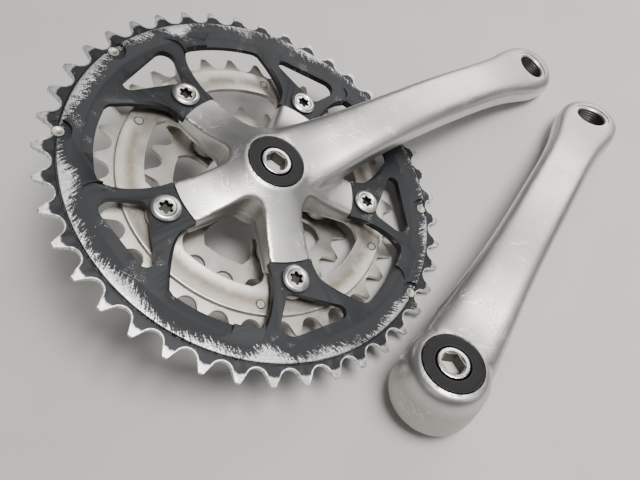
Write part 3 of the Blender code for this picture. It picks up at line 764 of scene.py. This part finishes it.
def inner_chainring():
    tip = tip_radius(INNER_TEETH)
    top, back = INNER_Z + INNER_HALF, INNER_Z - INNER_HALF
    ring = turned("inner_ring", [
        (22.6, top), (44.6, top), (tip - 0.2, top - 0.35), (tip, top - 0.7), (tip, back + 0.7),
        (tip - 0.2, back + 0.35), (44.6, back), (22.6, back), (22.6, top)], 132)
    cut_teeth(ring, INNER_TEETH, INNER_PHASE, -20.0, -10.0)
    side_out = [(6.4, 20.0), (6.6, 24.0), (7.8, 28.0), (9.6, 30.8), (13.5, 32.9)]
    side_in = [(-13.5, 32.9), (-9.6, 30.8), (-7.8, 28.0), (-6.6, 24.0), (-6.4, 20.0)]
    for angle in SPIDER_ARMS:
        gap = window(angle, side_out, side_in, 35.3, 19.0)
        combine(ring, "DIFFERENCE", plate("window", gap, -20.0, -10.0))
    drill(ring, INNER_CIRCLE, 4.3, -20.0, -10.0)
    return soften(ring, 0.2)


put(middle_chainring(), CHAINSET, "chainset", "plated_ring", MIDDLE_PLATE, "middle_chainring")
put(inner_chainring(), CHAINSET, "chainset", "plated_ring", INNER_PLATE, "inner_chainring")

# %% [markdown]
# A crank is forged: one lump of aluminium pressed to shape, so the arm, the boss and the
# spider flow into each other with soft corners. Booleans alone leave knife-sharp seams, so
# the lumps are only laid over each other here. A voxel remesh then makes one skin of them,
# and a smoothing rounds it. What is machined later, the bolt pocket, the threaded hole and
# the shoulders, is cut afterwards with crisp edges, as it is in the factory.

# %% The arm
BOSS_DEPTH = 26.95
PEDAL_BACK = 4.9
PEDAL_END = 15.2
SECTION_POINTS = 36
SQUARENESS = 0.50


def arm_stations(boss_hang):
    """Places (x, half width, top, bottom) along the arm, close together, from the boss out."""
    shape = [
        (-4.0, 14.0, -1.3, -boss_hang), (4.0, 15.4, -0.5, -boss_hang),
        (12.0, 15.7, -0.1, -boss_hang + 1.0), (22.0, 15.0, 1.6, -boss_hang + 3.5),
        (36.0, 13.4, 5.2, -12.6), (52.0, 12.2, 9.2, -7.4),
        (72.0, 11.5, 13.3, -2.4), (92.0, 11.4, 16.2, 1.2), (112.0, 11.4, 17.8, 3.4),
        (130.0, 11.6, 18.5, 4.6), (146.0, 12.5, 18.4, PEDAL_BACK), (157.0, 14.0, 18.1, PEDAL_BACK),
        (167.0, 15.3, PEDAL_RISE, PEDAL_BACK), (CRANK_LENGTH, PEDAL_END, PEDAL_RISE, PEDAL_BACK)]
    stations = flowing(shape, 6)
    for turn in range(6, 90, 6):
        drop = 0.5 * (1 - math.cos(math.radians(turn))) ** 2
        reach, half = polar(PEDAL_END, turn)[1], polar(PEDAL_END, turn)[0]
        stations.append((CRANK_LENGTH + reach, half, PEDAL_RISE - drop, PEDAL_BACK + drop))
    return stations


def arm(level, boss_hang):
    """One rounded-square section, extruded from station to station and resized at each."""
    stations = arm_stations(boss_hang)
    x, half, top, bottom = stations[0]
    section = []
    for i in range(SECTION_POINTS):
        c, s = polar(1.0, 360.0 * (i + 0.5) / SECTION_POINTS)
        across = half * math.copysign(abs(c) ** SQUARENESS, c)
        rise = 0.5 * (top - bottom) * math.copysign(abs(s) ** SQUARENESS, s)
        section.append((x, across, level + 0.5 * (top + bottom) + rise))
    piece = draw("arm", section)
    bpy.ops.mesh.select_all(action="SELECT")
    bpy.ops.mesh.edge_face_add()
    for here, ahead in zip(stations, stations[1:]):
        rise = 0.5 * (ahead[2] + ahead[3] - here[2] - here[3])
        centre = (ahead[0] * MM, 0.0, (level + 0.5 * (ahead[2] + ahead[3])) * MM)
        bpy.ops.mesh.extrude_region_move(TRANSFORM_OT_translate={
            "value": ((ahead[0] - here[0]) * MM, 0.0, rise * MM)})
        taller = (ahead[2] - ahead[3]) / (here[2] - here[3])
        bpy.ops.transform.resize(value=(1.0, ahead[1] / here[1], taller), center_override=centre)
    return close_up(piece)


# %% [markdown]
# The boss is turned. The spider is a star with round inner corners, drawn from its arms'
# ends and pulled through, then kept only inside a turned dome, so that its top falls away
# from the boss. Its lower edge has a thin ledge. Thin seats hold the two larger rings, and
# pillars on the back carry the inner one.

# %% Boss and spider
SPIDER_BACK = -6.3
SEAT_TOP, SEAT_BACK = -1.9, -4.5
PILLAR_BACK = INNER_Z + 1.35
SPIDER_HALF = 8.3
SPIDER_FILLET = 6.5


def boss(level):
    edge = flowing([(12.0, -0.05), (13.1, -0.4), (14.6, -1.5), (15.8, -3.6), (16.7, -7.0),
                    (17.15, -11.5), (17.45, -17.0), (17.45, -22.0), (16.9, -25.4),
                    (15.3, -BOSS_DEPTH)], 4)
    edge = [(0.0, 0.0), *edge, (0.0, -BOSS_DEPTH)]
    return turned("boss", raised(edge, level), 72)


def star(grow):
    """The spider's outline; grow widens it for the ledge below."""
    half, fillet = SPIDER_HALF + grow, SPIDER_FILLET - grow
    centre = (half + fillet) / math.sin(math.radians(36.0))
    outline = []
    for angle in SPIDER_ARMS:
        end = math.degrees(math.asin((half + 0.6) / 42.0))
        outline += arc(42.0, angle - end, angle + end, 4)
        outline += arc(fillet, angle - 90.0, angle - 198.0, 12, polar(centre, angle + 36.0))
    return outline


def spider():
    top = plate("spider", star(0.0), SPIDER_BACK, 12.0)
    slope = flowing([(12.0, FACE - 0.1), (13.2, 11.2), (15.0, 10.15), (17.5, 8.75), (20.5, 7.15),
                     (24.5, 5.3), (29.0, 3.75), (34.5, 2.5), (40.0, 1.75), (48.0, TAB_TOP)], 6)
    dome = turned("dome", [(0.0, FACE - 0.2), *slope, (48.0, -9.0), (0.0, -9.0)], 96)
    combine(top, "INTERSECT", dome)
    ledge = plate("ledge", star(0.7), SPIDER_BACK, SPIDER_BACK + 2.0)
    lumps = [top, ledge]
    for angle in SPIDER_ARMS:
        tongue = arc(6.6, 25.0, 155.0, 10, (0.0, BOLT_CIRCLE))
        seat = [(-8.0, 34.0), (8.0, 34.0), (8.0, 43.5), *tongue, (-8.0, 43.5)]
        lumps.append(plate("seat", aside(seat, angle), SEAT_BACK, SEAT_TOP))
        pillar = [(0.0, PILLAR_BACK), (6.6, PILLAR_BACK), (6.9, -4.0), (0.0, -4.0)]
        lumps.append(turned("pillar", pillar, 40, polar(INNER_CIRCLE, angle)))
    return lumps


# %% [markdown]
# The remesh is finer than the smallest soft corner, so the smoothing has points to move. A
# second smoothing works only near the neck, where the arm grows out of the boss: that corner
# is much rounder on a forging than any other. Its reach is a vertex group, set by place.

# %% One skin
VOXEL = 0.62
NECK_CENTRE, NECK_REACH = 19.0, 13.0


def forge(name, lumps):
    piece = join(*lumps)
    piece.name = name
    finish_modifier(piece, "REMESH", mode="VOXEL", voxel_size=VOXEL * MM)
    finish_modifier(piece, "SMOOTH", factor=0.5, iterations=12)
    neck = piece.vertex_groups.new(name="neck")
    for vertex in piece.data.vertices:
        aside_by = abs(vertex.co.y) / MM
        away = abs(vertex.co.x / MM - NECK_CENTRE) / NECK_REACH
        weight = max(0.0, 1.0 - away * away) * min(1.0, max(0.0, (aside_by - 6.0) / 5.0))
        if weight > 0.0:
            neck.add([vertex.index], weight, "REPLACE")
    finish_modifier(piece, "SMOOTH", factor=0.5, iterations=60, vertex_group="neck")
    print(name, "skin", len(piece.data.polygons), "faces")
    return piece


# %% [markdown]
# Machining: a pocket with a small chamfer for the bolt and its retaining ring, a hole for the
# bolt's shank, the square tapered socket for the axle, and the pedal hole. Its cutter carries
# the thread as rings 1.27 mm apart, twenty to the inch. That is the pitch of a pedal thread,
# and rings look like a helix at this size.

# %% Machined holes
RING_R, RECESS_DEPTH, POCKET_R, POCKET_DEPTH, WEB = 11.65, 2.9, 10.9, 10.6, 3.0
PEDAL_HOLE_R, THREAD_PITCH, THREAD_DEPTH = 7.15, 1.27, 0.55
SPOT_R, SPOT_DEPTH = 9.4, 0.6
SOCKET_SMALL, SOCKET_LARGE = 5.85, 6.4


def machine(crank, level):
    lip = RING_R + 0.3
    pocket = [(0.0, 3.0), (lip + 3.4, 3.0), (lip, -0.4), (lip, -RECESS_DEPTH),
              (POCKET_R, -RECESS_DEPTH), (POCKET_R, -POCKET_DEPTH), (0.0, -POCKET_DEPTH)]
    combine(crank, "DIFFERENCE", turned("pocket", raised(pocket, level), 96))
    shank = [(0.0, -POCKET_DEPTH - WEB - 2.0), (4.4, -POCKET_DEPTH - WEB - 2.0),
             (4.4, -POCKET_DEPTH + 2.0), (0.0, -POCKET_DEPTH + 2.0)]
    combine(crank, "DIFFERENCE", turned("shank", raised(shank, level), 40))
    square = [(SOCKET_SMALL * x, SOCKET_SMALL * y) for x, y in ((1, 1), (-1, 1), (-1, -1), (1, -1))]
    socket = plate("socket", square, level - POCKET_DEPTH - WEB, level - BOSS_DEPTH - 1.0)
    select_only(socket)
    bpy.ops.object.mode_set(mode="EDIT")
    bpy.ops.mesh.select_mode(type="VERT")
    bpy.ops.mesh.select_all(action="DESELECT")
    bpy.ops.object.mode_set(mode="OBJECT")
    for vertex in socket.data.vertices:
        vertex.select = vertex.co.z < (level - BOSS_DEPTH) * MM
    bpy.ops.object.mode_set(mode="EDIT")
    taper = SOCKET_LARGE / SOCKET_SMALL
    bpy.ops.transform.resize(value=(taper, taper, 1.0),
                             center_override=(0.0, 0.0, (level - BOSS_DEPTH - 1.0) * MM))
    combine(crank, "DIFFERENCE", close_up(socket))
    thread = [(0.0, 3.0), (SPOT_R, 3.0), (SPOT_R, -SPOT_DEPTH), (PEDAL_HOLE_R + 0.7, -SPOT_DEPTH),
              (PEDAL_HOLE_R, -SPOT_DEPTH - 0.7)]
    depth = -SPOT_DEPTH - 1.0
    while depth > -14.5:
        thread += [(PEDAL_HOLE_R, depth), (PEDAL_HOLE_R + THREAD_DEPTH, depth - THREAD_PITCH / 2)]
        depth -= THREAD_PITCH
    thread += [(PEDAL_HOLE_R, depth), (0.0, depth)]
    pedal_hole = turned("pedal_hole", raised(thread, level + PEDAL_RISE), 72, (CRANK_LENGTH, 0.0))
    combine(crank, "DIFFERENCE", pedal_hole)
    return crank


def right_crank():
    crank = forge("right_crank", [boss(FACE), *spider(), arm(FACE, FACE - SPIDER_BACK - 0.4)])
    for angle in SPIDER_ARMS:
        shoulder = aside([(-11.5, 62.0), (11.5, 62.0)], angle)
        shoulder += arc(SHOULDER, angle - 16.0, angle + 16.0, 12)
        combine(crank, "DIFFERENCE", plate("shoulder", shoulder, SEAT_TOP, 14.0))
    drill(crank, BOLT_CIRCLE, BOLT_HOLE_R, SEAT_BACK - 2.0, SEAT_TOP + 3.0)
    drill(crank, INNER_CIRCLE, 4.2, PILLAR_BACK - 3.0, SPIDER_BACK - 1.5)
    return machine(crank, FACE)


def left_crank():
    return machine(forge("left_crank", [boss(0.0), arm(0.0, BOSS_DEPTH - 3.0)]), 0.0)


put(right_crank(), CHAINSET, "chainset", "forged_aluminium", FORGED_RIGHT, "right_crank_arm")
put(left_crank(), LOOSE_CRANK, "left_crank", "forged_aluminium", FORGED_LEFT, "left_crank_arm")

# %% [markdown]
# The crank bolt's collar stands in the retaining ring's hole, and its 8 mm hex socket has a
# chamfered mouth. The ring bolts have a domed head with a six-lobed socket: three slots
# crossed with round ends give that star. The inner ring's bolts sit on its back.

# %% Bolts
HEX_HALF = 4.0
COLLAR_TOP, COLLAR_R = 0.2, 6.3


def hex_cutter(half, low, high, at=(0.0, 0.0)):
    corners = [polar(half / math.cos(math.radians(30.0)), 60.0 * k) for k in range(6)]
    return plate("hex", [(at[0] + x, at[1] + y) for x, y in corners], low, high)


def crank_bolt(name, level):
    profile = [(0.0, COLLAR_TOP), (COLLAR_R - 0.7, COLLAR_TOP), (COLLAR_R - 0.25, COLLAR_TOP - 0.15),
               (COLLAR_R, COLLAR_TOP - 0.6), (COLLAR_R, -5.8), (9.2, -5.8), (9.4, -6.0), (9.4, -7.6),
               (3.9, -7.6), (3.9, -10.0)]
    depth = -10.6
    while depth > -22.6:
        profile += [(3.55, depth), (3.9, depth - 0.5)]
        depth -= 1.0
    profile += [(3.0, -24.0), (0.0, -24.0)]
    bolt = turned(name, raised(profile, level), 64)
    combine(bolt, "DIFFERENCE", hex_cutter(HEX_HALF, level + COLLAR_TOP - 6.8, level + 2.0))
    mouth = [(0.0, 1.2), (5.9, 1.2), (4.0, COLLAR_TOP - 0.7), (0.0, COLLAR_TOP - 0.7)]
    combine(bolt, "DIFFERENCE", turned("mouth", raised(mouth, level), 48))
    return bolt


def washer(name, level):
    edge = [(4.4, -10.1), (4.5, -10.2), (9.2, -10.2), (9.4, -10.0), (9.4, -8.1), (9.2, -7.9),
            (4.5, -7.9), (4.4, -8.0), (4.4, -10.1)]
    return turned(name, raised(edge, level), 64)


def retaining_ring(name, level):
    """Flat on top with a shallow dish, and a thread below its flange."""
    profile = [(6.75, -5.4), (10.3, -5.4)]
    depth = -5.1
    while depth < -3.2:
        profile += [(10.6, depth), (10.3, depth + 0.35)]
        depth += 0.7
    profile += [(10.3, -2.6), (RING_R, -2.6), (RING_R, -0.45), (RING_R - 0.12, -0.15),
                (RING_R - 0.45, 0.0), (10.9, -0.03), (10.7, -0.16), (7.9, -0.2), (7.6, -0.05),
                (7.2, -0.03), (6.95, -0.15), (6.75, -0.5), (6.75, -5.4)]
    return turned(name, raised(profile, level), 96)


def ring_bolt(angle, k):
    at = polar(BOLT_CIRCLE, angle)
    low, head = TAB_TOP + 0.3 - 1.6, TAB_TOP + 0.3
    bolt = turned(f"ring_screw_{k}", [
        (0.0, -5.6), (3.6, -5.6), (3.9, -5.3), (3.9, head), (5.6, head), (5.75, head + 0.15),
        (5.75, head + 0.55), (5.55, head + 0.8), (4.9, head + 1.2), (4.4, head + 1.38),
        (4.1, head + 1.38), (3.7, head + 1.1), (3.4, head + 1.02), (0.0, head + 1.02)], 56, at)
    for turn in (0.0, 60.0, 120.0):
        slot = []
        for end in (0.0, 180.0):
            cx, cy = polar(2.15, turn + end)
            slot += arc(0.78, turn + end - 90.0, turn + end + 90.0, 8, (at[0] + cx, at[1] + cy))
        combine(bolt, "DIFFERENCE", plate("lobe", slot, low, head + 3.0))
    core = turned("core", [(0.0, low), (2.15, low), (2.15, head + 3.0), (0.0, head + 3.0)], 36, at)
    return combine(bolt, "DIFFERENCE", core)


for k, angle in enumerate(SPIDER_ARMS, 1):
    put(ring_bolt(angle, k), CHAINSET, "chainset", "bolt_steel", RING_BOLT_STEEL, f"ring_bolt_{k}")
for side, level, place, body, finish, black in (
        ("right", FACE, CHAINSET, "right_axle_bolt", BOLT_BRIGHT, RIGHT_BLACK),
        ("left", 0.0, LOOSE_CRANK, "left_axle_bolt", LOOSE_BOLT_BRIGHT, LEFT_BLACK)):
    put(crank_bolt(f"{side}_bolt", level), place, body, "bolt_steel", finish, f"{side}_crank_bolt")
    put(washer(f"{side}_washer", level), place, body, "bolt_steel", finish, f"{side}_bolt_washer")
    holder = "chainset" if side == "right" else "left_crank"
    put(retaining_ring(f"{side}_cap_ring", level), place, holder, "black_ring", black,
        f"{side}_retaining_ring")

# %% [markdown]
# Behind the rings each ring bolt screws into a slotted sleeve nut, and the inner ring's bolts
# have button heads with a small hex socket. The shift pins are rivets: a stem with a round,
# slightly domed head that stands in its hole.

# %% Nuts, inner bolts and pins
def ring_nut(angle, k):
    at = polar(BOLT_CIRCLE, angle)
    face = BAND_BACK - 0.3
    nut = turned(f"sleeve_nut_{k}", [
        (4.2, face - 1.0), (5.5, face - 1.0), (5.75, face - 0.75), (5.75, face), (4.95, face),
        (4.95, 0.0), (4.2, 0.0), (4.2, face - 1.0)], 48, at)
    slot = aside([(-7.0, -0.6), (7.0, -0.6), (7.0, 0.6), (-7.0, 0.6)], angle)
    slot = [(at[0] + x, at[1] + y) for x, y in slot]
    return combine(nut, "DIFFERENCE", plate("slot", slot, face - 2.0, face - 0.5))


def inner_bolt(angle, k):
    at = polar(INNER_CIRCLE, angle)
    back = INNER_Z - INNER_HALF - 0.3
    bolt = turned(f"inner_screw_{k}", [
        (0.0, PILLAR_BACK + 5.0), (3.7, PILLAR_BACK + 5.0), (3.9, PILLAR_BACK + 4.8), (3.9, back),
        (6.2, back), (6.2, back - 1.4), (5.7, back - 2.2), (4.9, back - 2.75), (4.2, back - 3.0),
        (0.0, back - 3.0)], 48, at)
    return combine(bolt, "DIFFERENCE", hex_cutter(2.5, back - 4.0, back - 1.2, at))


def shift_pin(name, at, radius, low, high):
    return turned(name, [
        (0.0, low), (radius - 0.2, low), (radius, low + 0.2), (radius, high - 0.2),
        (radius - 0.2, high), (radius * 0.5, high), (radius * 0.42, high - 0.1),
        (0.0, high - 0.1)], 32, at)


for k, angle in enumerate(SPIDER_ARMS, 1):
    put(ring_nut(angle, k), CHAINSET, "chainset", "bolt_steel", NUT_STEEL, f"ring_nut_{k}")
    put(inner_bolt(angle, k), CHAINSET, "chainset", "bolt_steel", NUT_STEEL, f"inner_ring_bolt_{k}")
for k, (angle, at_radius) in enumerate(OUTER_PINS, 1):
    pin = shift_pin(f"outer_rivet_{k}", polar(at_radius, angle), 2.25, -3.2, 1.2)
    put(pin, CHAINSET, "chainset", "pin_steel", PIN_STEEL, f"outer_shift_pin_{k}")
for k, (angle, at_radius) in enumerate(MIDDLE_PINS, 1):
    pin = shift_pin(f"middle_rivet_{k}", polar(at_radius, angle), 1.7, -9.0, -5.0)
    put(pin, CHAINSET, "chainset", "pin_steel", PIN_STEEL, f"middle_shift_pin_{k}")
